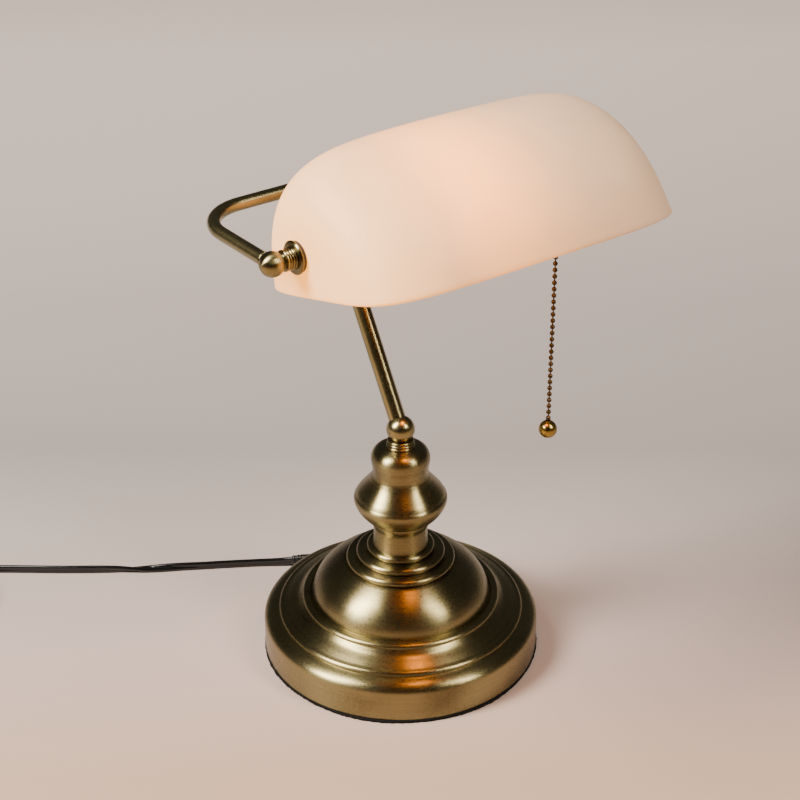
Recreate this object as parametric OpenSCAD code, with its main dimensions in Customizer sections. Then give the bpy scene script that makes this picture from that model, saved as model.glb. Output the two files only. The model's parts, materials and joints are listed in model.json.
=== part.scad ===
// Banker desk lamp: weighted round base, turned column, bent stem, yoke and
// a tilting opal glass shade with a pull-chain socket. Millimetres, +Z up.
// The origin is the centre of the base on the table, and -Y is the user's side.

/* [Base] */
// Diameter of the base rim
base_d = 185.6; // [170:0.1:200]
// Thickness of the foam pad under the base
pad_h = 2; // [1.5:0.1:3]
// Height of the crease at the top of the rim wall
rim_h = 22; // [20:1:24]
// Wall thickness of the spun brass shells
shell_t = 1.5; // [1:0.1:2]

/* [Column and stem] */
// Height of the ball that ends the column
ball_z = 165.5; // [163:0.5:168]
// Radius of the ball that ends the column
ball_r = 9.3; // [8.5:0.1:10]
// Outer radius of the stem tube
stem_r = 5.6; // [5:0.1:6]
// Lean of each leg of the stem from upright
stem_lean = 30.4; // [28:0.1:32]
// Radius of the stem's bend along its middle
stem_bend_r = 50; // [40:1:60]

/* [Yoke and pivot] */
// Height of the tilt axis and of the yoke
pivot_z = 338.4; // [335:0.1:342]
// Distance of the tilt axis in front of the column
pivot_front = 57; // [55:0.5:60]
// Distance of the yoke's bar behind the column
bar_back = 25; // [20:0.1:28]
// Outer radius of the yoke tube
yoke_r = 4; // [3.5:0.1:4.5]
// Half the distance between the yoke's two arms
arm_x = 129.3; // [127:0.1:132]
// Radius of the yoke's corner bends along the middle
yoke_bend_r = 31; // [20:1:35]

/* [Glass shade] */
// Half the length of the shade at its rim
shade_a = 112.5; // [111:0.5:114]
// Half the depth of the shade at its rim
shade_b = 67.4; // [65:0.1:69]
// Height of the shade from rim to ridge
shade_h = 77.9; // [74:0.1:82]
// Thickness of the glass
glass_t = 3.5; // [3:0.1:4]
// Tilt of the shade at rest, negative with the front raised
shade_tilt = -15.2; // [-20:0.1:-10]

/* [Pull chain] */
// Distance of the chain from the middle of the lamp
chain_x = 76; // [70:0.5:80]
// Radius of one chain bead
bead_r = 1.6; // [1.4:0.1:1.8]
// Distance from one bead to the next
bead_pitch = 4.35; // [4.2:0.05:4.5]
// Number of beads on the chain
beads = 31; // [20:1:32]
// Radius of the pull ball
pull_ball_r = 6; // [5:0.1:6.5]

/* [Power cord] */
// Width of the flat twin cord
cord_w = 5.8; // [5.4:0.1:6.4]
// Thickness of the flat twin cord
cord_t = 3; // [2.8:0.1:3.2]

/* [Hidden] */

$fn = 96;

base_r = base_d / 2;
rod_r = 5;
rod_hole_r = 5.15;
rod_bore_r = 3.2;
rod_z0 = 6.2;
lead_r = 1.9;

// Heights where the stacked pieces of the base and column meet
plate_t = 1.2;
weight_z0 = pad_h + plate_t;
weight_z1 = 17;
dome_z = 40.5;
collar_z = [65.6, 70, 74.7, 79.2];
neck_z1 = 100;
vase_z1 = 132;
cap_z1 = 153;
rings_z1 = 158.6;
dome_a = 59.5;
dome_b = 32.6;

// Cord entry at the back of the base
gland_z = 8;
gland_bore_r = 3.2;

// Positions that the tilting head is built from
pivot_y = -pivot_front;
shade_pivot = [10, 24];
rim_power = 5.09;
ridge_power = 1.80;
end_power = 4.91;
side_power = 2.15;
ridge_shift = 11;
flange_x0 = 114.6;
flange_x1 = 116.2;
knob_r = 7.3;
knob_boss = 8;
neck_x1 = arm_x - knob_boss - 0.3;
glass_out = 112.45;
glass_in = 108.7;
screw_r = 2.95;
nipple_r = 4.95;
socket_x1 = 101.5;
socket_r = 17;
socket_cap_l = 13;
socket_x0 = 44;
eye_z = 311;
chain_z0 = 306.4;

// Route of the cord from the boot to the coil: x, y, z and the roll of its width from level
cord_route = [
  [0, 96, 8, 90], [-0.5, 102, 8, 90], [-2.5, 107.5, 7.4, 90], [-6, 112.5, 6.2, 90],
  [-11, 117.5, 4.8, 90], [-18, 123, 3.6, 90], [-30, 131.5, 3, 90], [-42, 139, 3, 90],
  [-55, 147, 3, 90], [-66, 153.5, 3, 90], [-77, 160.5, 2.9, 78], [-88, 167.5, 2.4, 48],
  [-98, 174, 1.7, 14], [-108, 180.5, 2.1, -32], [-118, 187, 2.8, -70], [-130, 195.5, 3, -90],
  [-143, 205, 3, -90], [-157, 215.5, 3, -90], [-171, 226.5, 3, -90], [-186, 238, 3, -90],
  [-201, 249.3, 3.1, -90], [-212, 257.5, 3.4, -90], [-222.9, 265.7, 3.8, -90]];
// Route of the cord from the coil to the plug
tail_route = [
  [-293.6, 231, 9.7, 90], [-293.2, 221, 9.3, 90], [-291, 211, 8.6, 90],
  [-287.8, 202, 7.9, 90], [-285, 193, 7.6, 90], [-284, 186, 7.6, 90]];
coil_at = [-250, 231];
coil_r0 = 23.2;
coil_r1 = 46;
coil_z0 = 0.8;
coil_h = 2 * cord_w + 0.2;
tie_angle = 290;
tie_t = 0.7;
tie_w = 9;
plug_x = -284;
plug_z = 7.6;
plug_y1 = 180;
plug_y0 = 152;

BRASS = "darkkhaki";
STEEL = "silver";
BLACK = "dimgray";

// Turns X to Y, Y to Z and Z to X
module upright() rotate([90, 0, 90]) children();
// Turns +Z to +X
module along_x() rotate([0, 90, 0]) children();
// Turns +Z to +Y
module along_y() rotate([-90, 0, 0]) children();

function arc(c, r, from, to, steps, squash = 1) =
  [for (i = [0:steps]) let (a = from + (to - from) * i / steps)
    [c[0] + r * cos(a), c[1] + r * squash * sin(a)]];
function inset(points, t) = [for (i = [len(points) - 1:-1:0]) [points[i][0] - t, points[i][1]]];

// A spun cup, open below: outer outline from bottom to top, with a pierced top web
module spun(outer, t, hole_r) {
  top = outer[len(outer) - 1][1];
  inner = [for (p = inset(outer, t)) if (p[1] < top - t) p];
  rotate_extrude()
    polygon(concat(outer, [[hole_r, top], [hole_r, top - t]], inner));
}

// A turned ring with a half-round edge
module ring_disc(r, z0, z1, hole_r) {
  e = (z1 - z0) / 2;
  rotate_extrude()
    polygon(concat([[hole_r, z0]], arc([r - e, z0 + e], e, -90, 90, 10), [[hole_r, z1]]));
}

module tube_z(r_out, r_in, z0, z1) {
  translate([0, 0, z0])
    difference() {
      cylinder(r = r_out, h = z1 - z0);
      translate([0, 0, -1]) cylinder(r = r_in, h = z1 - z0 + 2);
    }
}

// A ring about the tilt axis between two x positions
module washer_x(r_out, r_in, x0, x1) {
  translate([0, pivot_y, pivot_z])
    along_x() tube_z(r_out, r_in, x0, x1);
}

// ---------------------------------------------------------------- base
module base_pad() {
  color("black")
    cylinder(r = base_r + 0.4, h = pad_h);
}

module bottom_plate() {
  color(STEEL) tube_z(base_r - 7, 14, pad_h, pad_h + plate_t);
}

module base_weight() {
  color("darkslategray")
    difference() {
      tube_z(base_r - 10, rod_hole_r, weight_z0, weight_z1);
      translate([0, 0, weight_z0 - 1]) cylinder(r = 14, h = 8);
      translate([-4, 8, weight_z0 - 1]) cube([8, base_r, 9.5]);
    }
}

module base_shell() {
  wall_z = pad_h;
  outer = concat(
    [[base_r, wall_z]],
    arc([base_r - 9.4, rim_h], 9.4, 0, 84, 8, 0.7),
    arc([base_r - 12.7, rim_h + 7.4], 2.6, -10, 90, 6),
    [[75, 33.7], [70, 35.6], [67.2, 37.8]],
    arc([64.2, 39], 2.3, -10, 90, 6),
    [[61, 41], [60.4, dome_z]]);
  inner = [[51, dome_z], [51, dome_z - shell_t], [62, dome_z - shell_t - 1.4], [68, 34.6],
    [76, 31.4], [base_r - 12, rim_h + 4.6], [base_r - 4, rim_h + 1.5],
    [base_r - shell_t, rim_h - 1], [base_r - shell_t, wall_z]];
  color(BRASS)
    difference() {
      rotate_extrude() polygon(concat(outer, inner));
      translate([0, base_r - 8, gland_z]) along_y() cylinder(r = 4.9, h = 16);
    }
}

module base_dome() {
  outer = concat(
    arc([0, dome_z], dome_a, 0, 50, 14, dome_b / dome_a), [[37, collar_z[0]]]);
  color(BRASS) spun(outer, shell_t, rod_hole_r);
}

module spacer_tube() {
  color(STEEL) tube_z(9, rod_hole_r, weight_z1, collar_z[0] - shell_t - 0.2);
}

module collar_large() {
  color(BRASS) ring_disc(36.4, collar_z[0], collar_z[1], rod_hole_r);
}

module collar_medium() {
  color(BRASS) ring_disc(29.7, collar_z[1], collar_z[2], rod_hole_r);
}

module collar_small() {
  color(BRASS) ring_disc(22.6, collar_z[2], collar_z[3], rod_hole_r);
}

// -------------------------------------------------------------- column
module column_neck() {
  outer = concat(
    [[18.6, collar_z[3]], [18.2, 82], [17.9, 88], [18.2, 93.6], [19.2, 95.6],
      [20.1, 97.6], [20.2, 99.2], [19.8, neck_z1]]);
  color(BRASS) spun(outer, shell_t, rod_hole_r);
}

module column_vase() {
  outer = concat(
    [[22, neck_z1], [24.8, 102.4], [28.4, 107.4], [30.2, 111]],
    arc([26.6, 114.4], 4.3, -30, 45, 8),
    [[26.3, 122.2], [22.6, 126.6], [19.9, 129.8], [18.8, vase_z1]]);
  color(BRASS) spun(outer, shell_t, rod_hole_r);
}

module column_cap() {
  outer = concat(
    [[18.4, vase_z1], [18.3, 135], [18.6, 139], [19.3, 142]],
    arc([12.2, 144.6], 7.2, 0, 70, 10, 1.08),
    [[12, cap_z1 - 0.6], [9.4, cap_z1]]);
  color(BRASS) spun(outer, shell_t, rod_hole_r);
}

module neck_rings() {
  ring_h = (rings_z1 - cap_z1) / 3;
  color(BRASS)
    for (i = [0:2])
      ring_disc(9.4 - 0.35 * i, cap_z1 + i * ring_h, cap_z1 + (i + 1) * ring_h, rod_hole_r);
}

module stem_ball() {
  color(BRASS)
    difference() {
      translate([0, 0, ball_z]) sphere(r = ball_r);
      translate([0, 0, rings_z1 - ball_r]) cylinder(r = ball_r * 2, h = ball_r);
      cylinder(r = rod_hole_r, h = ball_z - 2);
      translate([0, 0, ball_z - 4]) cylinder(r = lead_r + 0.7, h = 4);
      translate([0, 0, ball_z]) sphere(r = lead_r + 0.9);
      rotate_to_lean() cylinder(r = lead_r + 0.7, h = 5);
      stem_place() cylinder(r = stem_r, h = 20);
    }
}

module center_rod() {
  color(STEEL) tube_z(rod_r, rod_bore_r, rod_z0, ball_z - 2.2);
}

module rod_washer() {
  color(STEEL) tube_z(9.6, rod_hole_r, 8.4, 10.2);
}

module rod_nut() {
  color(STEEL)
    difference() {
      translate([0, 0, rod_z0]) cylinder(r = 9, h = 8.4 - rod_z0, $fn = 6);
      cylinder(r = rod_hole_r, h = 20);
    }
}

// ---------------------------------------------------------- stem, yoke
// The foot of the stem's lower leg, 4 mm up from the ball's middle
stem_foot = 4;
module stem_place() rotate_to_lean() translate([0, 0, stem_foot]) children();
module rotate_to_lean() translate([0, 0, ball_z]) rotate([-stem_lean, 0, 0]) children();

hub_y = bar_back;
stem_rise = pivot_z - ball_z;
// The bend's corner, where the middle lines of the two legs meet
corner_z = ball_z + stem_rise / 2 + hub_y / (2 * tan(stem_lean));
corner_y = (corner_z - ball_z) * tan(stem_lean);
leg_low = (corner_z - ball_z) / cos(stem_lean) - stem_bend_r * tan(stem_lean);
leg_high = (pivot_z - corner_z) / cos(stem_lean) - stem_bend_r * tan(stem_lean);

// Points a shape that stands on +Z down the upper leg from the hub
module down_from_hub() translate([0, hub_y, pivot_z]) rotate([180 + stem_lean, 0, 0]) children();

// The stem's middle line swept with a circle, cut short by start and end.
// The legs run lap into the bend, which is a hair thinner, so that the three fuse.
lap = 0.5;
hair = 0.02;
module stem_path(r, start, end) {
  rotate_to_lean() translate([0, 0, start]) cylinder(r = r, h = leg_low + lap - start);
  translate([0, corner_y - stem_bend_r / cos(stem_lean), corner_z])
    upright() rotate([0, 0, -stem_lean])
      rotate_extrude(angle = 2 * stem_lean)
        translate([stem_bend_r, 0]) circle(r = r - hair);
  down_from_hub() translate([0, 0, end]) cylinder(r = r, h = leg_high + lap - end);
}

// One half of the yoke's middle line on the +X side, from the hub to the knob
module arm_path(r, start, end) {
  translate([start, bar_back, pivot_z]) along_x() cylinder(r = r, h = arm_x - yoke_bend_r - start);
  translate([arm_x - yoke_bend_r, bar_back - yoke_bend_r, pivot_z])
    rotate_extrude(angle = 90) translate([yoke_bend_r, 0]) circle(r = r);
  translate([arm_x, end, pivot_z])
    along_y() cylinder(r = r, h = bar_back - yoke_bend_r - end);
}

module stem_tube() {
  color(BRASS)
    difference() {
      stem_path(stem_r, stem_foot, 5);
      stem_path(stem_r - 1.2, stem_foot - 1, 4);
    }
}

hub_r = 8;
module yoke_hub() {
  color(BRASS)
    difference() {
      translate([0, hub_y, pivot_z]) sphere(r = hub_r);
      translate([-hub_r - 1, hub_y, pivot_z]) along_x() cylinder(r = yoke_r, h = 2 * hub_r + 2);
      down_from_hub() translate([0, 0, 5]) cylinder(r = stem_r, h = 12);
      down_from_hub() cylinder(r = lead_r + 0.8, h = 12);
    }
}

arm_start = 3.2;
arm_end = pivot_y + 6;
module yoke_arm() {
  color(BRASS)
    difference() {
      arm_path(yoke_r, arm_start, arm_end);
      arm_path(yoke_r - 1, arm_start - 1, arm_end - 1);
    }
}
module yoke_arm_left() mirror([1, 0, 0]) yoke_arm();
module yoke_arm_right() yoke_arm();

// A hollow knob ball at the end of an arm, bored for a pivot of the given radius
module knob(bore_r) {
  color(BRASS)
    translate([arm_x, pivot_y, pivot_z])
      difference() {
        union() {
          sphere(r = knob_r);
          translate([-knob_boss, 0, 0]) along_x() cylinder(r = 6.2, h = knob_boss);
          along_y() cylinder(r = 4.8, h = knob_r + 0.2);
        }
        translate([-knob_boss - 1, 0, 0]) along_x() cylinder(r = bore_r, h = knob_boss + 3);
        along_y() cylinder(r = lead_r + 0.6, h = 12);
        translate([0, 5.4, 0]) along_y() cylinder(r = yoke_r, h = 6);
      }
}
pivot_clear = 0.05;
module knob_left() mirror([1, 0, 0]) knob(screw_r + pivot_clear);
module knob_right() knob(nipple_r + pivot_clear);

// The lead that runs inside the base, rod, stem and right arm.
// Balls a little wider than the lead join its straight lengths.
lead_drop_y = 11.8;
lead_low_z = 4;
module lead_joint(at) translate(at) sphere(r = lead_r + 0.1);
module inner_lead() {
  color(BLACK) {
    translate([0, lead_drop_y, gland_z]) along_y() cylinder(r = lead_r, h = 82);
    lead_joint([0, lead_drop_y, gland_z]);
    translate([0, lead_drop_y, lead_low_z]) cylinder(r = lead_r, h = gland_z - lead_low_z);
    lead_joint([0, lead_drop_y, lead_low_z]);
    translate([0, 0, lead_low_z]) along_y() cylinder(r = lead_r, h = lead_drop_y);
    lead_joint([0, 0, lead_low_z]);
    translate([0, 0, lead_low_z]) cylinder(r = lead_r, h = ball_z - lead_low_z);
    lead_joint([0, 0, ball_z]);
    stem_path(lead_r, 0, 0);
    lead_joint([0, hub_y, pivot_z]);
    arm_path(lead_r, 0, pivot_y + 1);
  }
}

// ---------------------------------------------------------- cord entry
module cord_gland() {
  color(BLACK)
    translate([0, 0, gland_z]) along_y()
      rotate_extrude()
        polygon([[gland_bore_r, base_r - 6], [6, base_r - 6], [6, base_r - 3],
          [4.8, base_r - 3], [4.8, base_r + 0.6], [6.3, base_r + 0.6],
          [6.3, base_r + 2], [5.2, base_r + 3], [gland_bore_r, base_r + 3]]);
}

// Sweeps an oval section along route points of x, y, z and roll
function ahead(p, i) = let (v = [for (k = [0:2]) p[min(i + 1, len(p) - 1)][k] - p[max(i - 1, 0)][k]])
  v / norm(v);
function oval_ring(p, i, half_w, half_t, sides) =
  let (f = ahead(p, i), s = [f[1], -f[0], 0] / norm([f[0], f[1]]), u = cross(s, f), a = p[i][3])
  let (wide = s * cos(a) + u * sin(a), thin = u * cos(a) - s * sin(a))
  [for (j = [0:sides - 1]) let (b = 360 * (j + 0.5) / sides)
    [p[i][0], p[i][1], p[i][2]] + wide * half_w * cos(b) + thin * half_t * sin(b)];
function tube_faces(rings, sides) = concat(
  [[for (j = [sides - 1:-1:0]) j]],
  [for (i = [0:rings - 2], j = [0:sides - 1]) let (k = (j + 1) % sides)
    each [[i * sides + j, i * sides + k, (i + 1) * sides + k],
      [i * sides + j, (i + 1) * sides + k, (i + 1) * sides + j]]],
  [[for (j = [0:sides - 1]) (rings - 1) * sides + j]]);
module sweep(route, half_w, half_t, sides) {
  polyhedron(
    points = [for (i = [0:len(route) - 1])
      each oval_ring(route, i, half_w[min(i, len(half_w) - 1)], half_t[min(i, len(half_t) - 1)], sides)],
    faces = tube_faces(len(route), sides));
}

module cord_boot() {
  half_w = [5, 4.8, 4.4, 4, 3.7];
  half_t = [4.6, 4.2, 3.6, 3, 2.5];
  color(BLACK)
    sweep(concat([[0, base_r + 3.4, gland_z, 90]], [for (i = [1:4]) cord_route[i]]),
      half_w, half_t, 10);
}

// --------------------------------------------------------------- shade
function spow(v, e) = sign(v) * pow(abs(v), e);
shade_sides = 64;
shade_steps = [0, 9, 18, 27, 36, 45, 54, 63, 72, 80, 86];
function shade_ring(step, a, b, h) =
  let (t = pow(sin(step), 2 / side_power), n = rim_power + (ridge_power - rim_power) * t)
  let (ra = a * pow(1 - pow(t, end_power), 1 / end_power))
  let (rb = b * pow(cos(step), 2 / side_power))
  [for (i = [0:shade_sides - 1]) let (u = 360 * (i + 0.5) / shade_sides)
    [ra * spow(cos(u), 2 / n), rb * spow(sin(u), 2 / n) + ridge_shift * t, h * t]];
function shade_skin(a, b, h) = concat(
  [for (s = shade_steps) each shade_ring(s, a, b, h)], [[0, ridge_shift, h]]);

module shade_form() {
  m = shade_sides;
  k = len(shade_steps);
  outer = shade_skin(shade_a, shade_b, shade_h);
  inner = shade_skin(shade_a - glass_t, shade_b - glass_t, shade_h - glass_t);
  o = len(outer);
  side = [for (r = [0:k - 2], i = [0:m - 1]) let (j = (i + 1) % m)
    each [[r * m + i, (r + 1) * m + j, r * m + j], [r * m + i, (r + 1) * m + i, (r + 1) * m + j]]];
  cap = [for (i = [0:m - 1]) [(k - 1) * m + i, k * m, (k - 1) * m + (i + 1) % m]];
  skin = concat(side, cap);
  rim = [for (i = [0:m - 1]) let (j = (i + 1) % m) each [[i, j, o + j], [i, o + j, o + i]]];
  back = [for (f = skin) [o + f[0], o + f[2], o + f[1]]];
  polyhedron(points = concat(outer, inner), faces = concat(skin, rim, back));
}

module glass_shade() {
  color("bisque")
    translate([0, pivot_y, pivot_z])
      difference() {
        rotate([shade_tilt, 0, 0]) translate([0, -shade_pivot[0], -shade_pivot[1]]) shade_form();
        translate([100, 0, 0]) along_x() cylinder(r = 5.4, h = 20);
        mirror([1, 0, 0]) translate([100, 0, 0]) along_x() cylinder(r = 5.4, h = 20);
      }
}

// A flange disc with its ringed neck, bored for the pivot
module flange(bore_r) {
  ring_w = (neck_x1 - flange_x1) / 3;
  color(BRASS)
    translate([0, pivot_y, pivot_z]) along_x() {
      ring_disc(9.8, flange_x0, flange_x1, bore_r);
      for (i = [0:2])
        ring_disc(6.6 - 0.3 * i, flange_x1 + i * ring_w, flange_x1 + (i + 1) * ring_w, bore_r);
    }
}
module flange_left() mirror([1, 0, 0]) flange(screw_r + 0.15);
module flange_right() flange(nipple_r + 0.15);

module outer_washers() {
  color("black") {
    washer_x(9, nipple_r + 0.3, glass_out + 0.15, flange_x0);
    mirror([1, 0, 0]) washer_x(9, screw_r + 0.3, glass_out + 0.15, flange_x0);
  }
}

module inner_washers() {
  color("black") {
    washer_x(9, nipple_r + 0.3, 107, glass_in - 0.35);
    mirror([1, 0, 0]) washer_x(9, screw_r + 0.3, 107, glass_in - 0.35);
  }
}

module steel_washers() {
  color(STEEL) {
    washer_x(8.5, nipple_r + 0.15, 106, 107);
    mirror([1, 0, 0]) washer_x(8.5, screw_r + 0.15, 106, 107);
  }
}

module pivot_screw() {
  color(STEEL)
    translate([0, pivot_y, pivot_z]) mirror([1, 0, 0]) along_x()
      translate([0, 0, 99]) cylinder(r = screw_r, h = arm_x - 99 - 3);
}

module pivot_nut() {
  color(STEEL)
    translate([0, pivot_y, pivot_z]) mirror([1, 0, 0]) along_x()
      translate([0, 0, 101])
        difference() {
          cylinder(r = 6.2, h = 5, $fn = 6);
          translate([0, 0, -1]) cylinder(r = screw_r + 0.05, h = 7);
        }
}

module hollow_nipple() {
  color(STEEL) washer_x(nipple_r, rod_bore_r, 92, arm_x - 3);
}

module nipple_nut() {
  color(STEEL)
    translate([socket_x1 + 0.3, pivot_y, pivot_z]) along_x()
      difference() {
        cylinder(r = 8.5, h = 106 - socket_x1 - 0.3, $fn = 6);
        translate([0, 0, -1]) cylinder(r = nipple_r + 0.05, h = 7);
      }
}

// -------------------------------------------------------------- socket
// Places a shape that is turned about +Z so that its bottom is at x = 0 and its top points to +X
module on_pivot() translate([0, pivot_y, pivot_z]) along_x() children();

module socket_cap() {
  x0 = socket_x1 - socket_cap_l;
  outer = concat([[socket_r + 0.6, x0], [socket_r + 0.6, x0 + 3]],
    arc([8, x0 + 3], socket_r - 7.6, 0, 80, 10, 0.82), [[8, socket_x1]]);
  color(BRASS) on_pivot() spun(outer, 0.8, nipple_r + 0.1);
}

module socket_shell() {
  x1 = socket_x1 - socket_cap_l;
  color(BRASS)
    difference() {
      on_pivot()
        rotate_extrude()
          polygon(concat([[socket_r - 0.8, socket_x0], [socket_r + 0.2, socket_x0 - 0.8],
            [socket_r + 1, socket_x0], [socket_r + 0.2, socket_x0 + 0.8],
            [socket_r, socket_x0 + 1.2], [socket_r, x1], [socket_r - 0.8, x1]]));
      translate([chain_x, pivot_y, pivot_z - socket_r - 3]) cylinder(r = 3.2, h = 8);
    }
}

module socket_liner() {
  color("tan")
    difference() {
      washer_x(socket_r - 1, socket_r - 2, socket_x0 + 2, 86);
      translate([chain_x, pivot_y, pivot_z - socket_r - 3]) cylinder(r = 3.2, h = 8);
    }
}

module screw_sleeve() {
  color(BRASS) washer_x(14.2, 13.6, socket_x0 + 4, 69);
}

module center_contact() {
  color(BRASS) on_pivot() translate([0, 0, 66.6]) cylinder(r = 3.4, h = 2.4);
}

// The switch block behind the screw sleeve, with the bell-mouth guide of the chain
module pull_switch() {
  guide_z = pivot_z - socket_r;
  color("ivory")
    difference() {
      union() {
        on_pivot() translate([0, 0, 69]) cylinder(r = 14.6, h = 16);
        translate([chain_x, pivot_y, guide_z - 1.5]) cylinder(r = 3, h = 6);
        translate([chain_x, pivot_y, guide_z - 5.5])
          rotate_extrude() polygon([[0, 0], [4, 0], [3.6, 1.6], [2.9, 4], [0, 4]]);
      }
      translate([chain_x, pivot_y, guide_z - 10]) cylinder(r = 1.9, h = 24);
      translate([chain_x, pivot_y, guide_z + 2.6]) cylinder(r = 4.2, h = 15);
    }
}

module bulb_cap() {
  color(STEEL)
    on_pivot()
      difference() {
        rotate_extrude()
          polygon([[0, 66.3], [4.6, 66.3], [7, 64.4], [10.5, 62.6], [13.1, 61], [13.1, 44], [0, 44]]);
        translate([0, 0, 43]) cylinder(r = 12.4, h = 12);
      }
}

module bulb_globe() {
  globe_r = 27;
  color("white")
    on_pivot()
      rotate_extrude()
        polygon(concat([[0, 54], [12.2, 54], [12.2, 44], [13.6, 40], [17.2, 32], [21.4, 25]],
          arc([0, 8.6], globe_r, 37, -90, 24)));
}

// --------------------------------------------------------- pull chain
module pull_stem() {
  color(BRASS)
    translate([chain_x, pivot_y, 0])
      difference() {
        union() {
          translate([0, 0, eye_z + 1.6]) cylinder(r = 1.5, h = 20.6);
          translate([0, 0, eye_z + 22]) cylinder(r = 3.4, h = 1.2);
          translate([-0.6, 0, eye_z]) along_x() cylinder(r = 2.2, h = 1.2);
        }
        translate([-2, 0, eye_z]) along_x() cylinder(r = 1.2, h = 4);
      }
}

// The small ring that joins the switch stem to the chain
module chain_eye() {
  color(BRASS)
    translate([chain_x, pivot_y, eye_z - 1.9])
      along_y() rotate_extrude() translate([2.3, 0]) circle(r = 0.4, $fn = 24);
}

module pull_chain() {
  color("peru")
    translate([chain_x, pivot_y, 0]) {
      difference() {
        translate([-0.5, 0, eye_z - 4.2]) along_x() cylinder(r = 1.7, h = 1);
        translate([-1, 0, eye_z - 4.2]) along_x() cylinder(r = 0.8, h = 2);
      }
      for (i = [0:beads - 1])
        translate([0, 0, chain_z0 - 2 - i * bead_pitch]) sphere(r = bead_r, $fn = 32);
      translate([0, 0, chain_z0 - 2 - beads * bead_pitch])
        cylinder(r = 0.45, h = beads * bead_pitch, $fn = 16);
    }
}

module pull_ball() {
  top = chain_z0 - 2 - (beads - 1) * bead_pitch - bead_r;
  color("goldenrod")
    translate([chain_x, pivot_y, top - 0.6 - pull_ball_r])
      difference() {
        union() {
          sphere(r = pull_ball_r);
          cylinder(r = 1.5, h = pull_ball_r + 0.5);
        }
        cylinder(r = 0.6, h = 2 * pull_ball_r);
      }
}

// ---------------------------------------------------------- power cord
module cord_run() {
  color(BLACK) sweep(cord_route, [cord_w / 2], [cord_t / 2], 10);
}

module cord_tail() {
  color(BLACK) sweep(tail_route, [cord_w / 2], [cord_t / 2], 10);
}

module cord_coil() {
  color(BLACK)
    translate([coil_at[0], coil_at[1], coil_z0])
      difference() {
        cylinder(r = coil_r1, h = coil_h);
        translate([0, 0, -1]) cylinder(r = coil_r0, h = coil_h + 2);
      }
}

module cord_tie() {
  span = coil_r1 - coil_r0;
  color("black")
    translate([coil_at[0], coil_at[1], 0]) rotate([0, 0, tie_angle])
      difference() {
        translate([coil_r0 - 1.2, -tie_w / 2, 0]) cube([span + 2.4, tie_w, coil_h + 1.7]);
        translate([coil_r0 - 1.2 + tie_t, -tie_w, coil_z0 - 0.1])
          cube([span + 2.4 - 2 * tie_t, 2 * tie_w, coil_h + 0.2]);
      }
}

module plug_body() {
  color(BLACK)
    translate([plug_x, 0, plug_z])
      difference() {
        union() {
          translate([0, plug_y0, 0]) along_y()
            linear_extrude(plug_y1 - plug_y0)
              hull() for (s = [-1, 1]) translate([s * 4.8, 0]) circle(r = 7.2, $fn = 32);
          translate([0, plug_y1 - 1, 0]) along_y() cylinder(r1 = 5, r2 = 3.6, h = 15);
        }
        for (s = [-1, 1])
          translate([s * 6.35 - 0.75, plug_y0 - 1, -3.15]) cube([1.5, 13, 6.3]);
        translate([0, plug_y1 + 5, 0]) along_y() cylinder(r = 2.95, h = 12);
      }
}

module plug_pins() {
  pin_l = 16;
  color("gold")
    for (s = [-1, 1])
      translate([plug_x + s * 6.35 - 0.75, plug_y0 - pin_l, plug_z - 3.15])
        difference() {
          cube([1.5, pin_l + 12, 6.3]);
          translate([-1, 4, 3.15]) along_x() cylinder(r = 1.6, h = 4);
        }
}

base_pad();
bottom_plate();
base_weight();
base_shell();
base_dome();
spacer_tube();
collar_large();
collar_medium();
collar_small();
column_neck();
column_vase();
column_cap();
neck_rings();
stem_ball();
center_rod();
rod_washer();
rod_nut();
stem_tube();
yoke_hub();
yoke_arm_left();
yoke_arm_right();
knob_left();
knob_right();
inner_lead();
cord_gland();
cord_boot();
glass_shade();
flange_left();
flange_right();
outer_washers();
inner_washers();
steel_washers();
pivot_screw();
pivot_nut();
hollow_nipple();
nipple_nut();
socket_cap();
socket_shell();
socket_liner();
screw_sleeve();
center_contact();
pull_switch();
bulb_cap();
bulb_globe();
pull_stem();
chain_eye();
pull_chain();
pull_ball();
cord_run();
cord_coil();
cord_tail();
cord_tie();
plug_body();
plug_pins();
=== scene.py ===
# Banker desk lamp: the visible pieces, their materials, the lights and the camera,
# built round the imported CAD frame. Lengths are in millimetres, apart from the camera's, the
# floor's and the lights', which are in metres.
import json
import math
import random

import bpy
import bmesh
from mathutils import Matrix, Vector


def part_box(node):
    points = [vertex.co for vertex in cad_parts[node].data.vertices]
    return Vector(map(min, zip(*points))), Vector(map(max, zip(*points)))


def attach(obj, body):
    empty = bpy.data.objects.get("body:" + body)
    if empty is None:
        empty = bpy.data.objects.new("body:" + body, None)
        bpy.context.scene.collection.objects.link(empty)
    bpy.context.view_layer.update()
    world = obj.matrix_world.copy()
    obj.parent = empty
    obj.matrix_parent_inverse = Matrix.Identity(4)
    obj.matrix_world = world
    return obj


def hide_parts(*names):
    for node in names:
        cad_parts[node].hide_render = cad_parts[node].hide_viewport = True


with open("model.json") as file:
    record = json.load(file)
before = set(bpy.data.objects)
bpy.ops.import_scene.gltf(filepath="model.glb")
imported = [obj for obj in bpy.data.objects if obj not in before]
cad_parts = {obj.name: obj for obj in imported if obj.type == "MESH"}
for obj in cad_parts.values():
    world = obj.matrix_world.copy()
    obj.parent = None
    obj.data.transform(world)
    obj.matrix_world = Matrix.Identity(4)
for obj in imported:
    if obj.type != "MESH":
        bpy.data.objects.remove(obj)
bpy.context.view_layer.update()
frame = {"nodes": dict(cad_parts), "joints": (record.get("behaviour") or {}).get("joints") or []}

MM = 0.001
TAU = 2 * math.pi
nodes = frame["nodes"]


def mm_box(node):
    """A CAD node's lowest and highest corners in millimetres."""
    low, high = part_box(node)
    return [v / MM for v in low], [v / MM for v in high]


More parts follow.
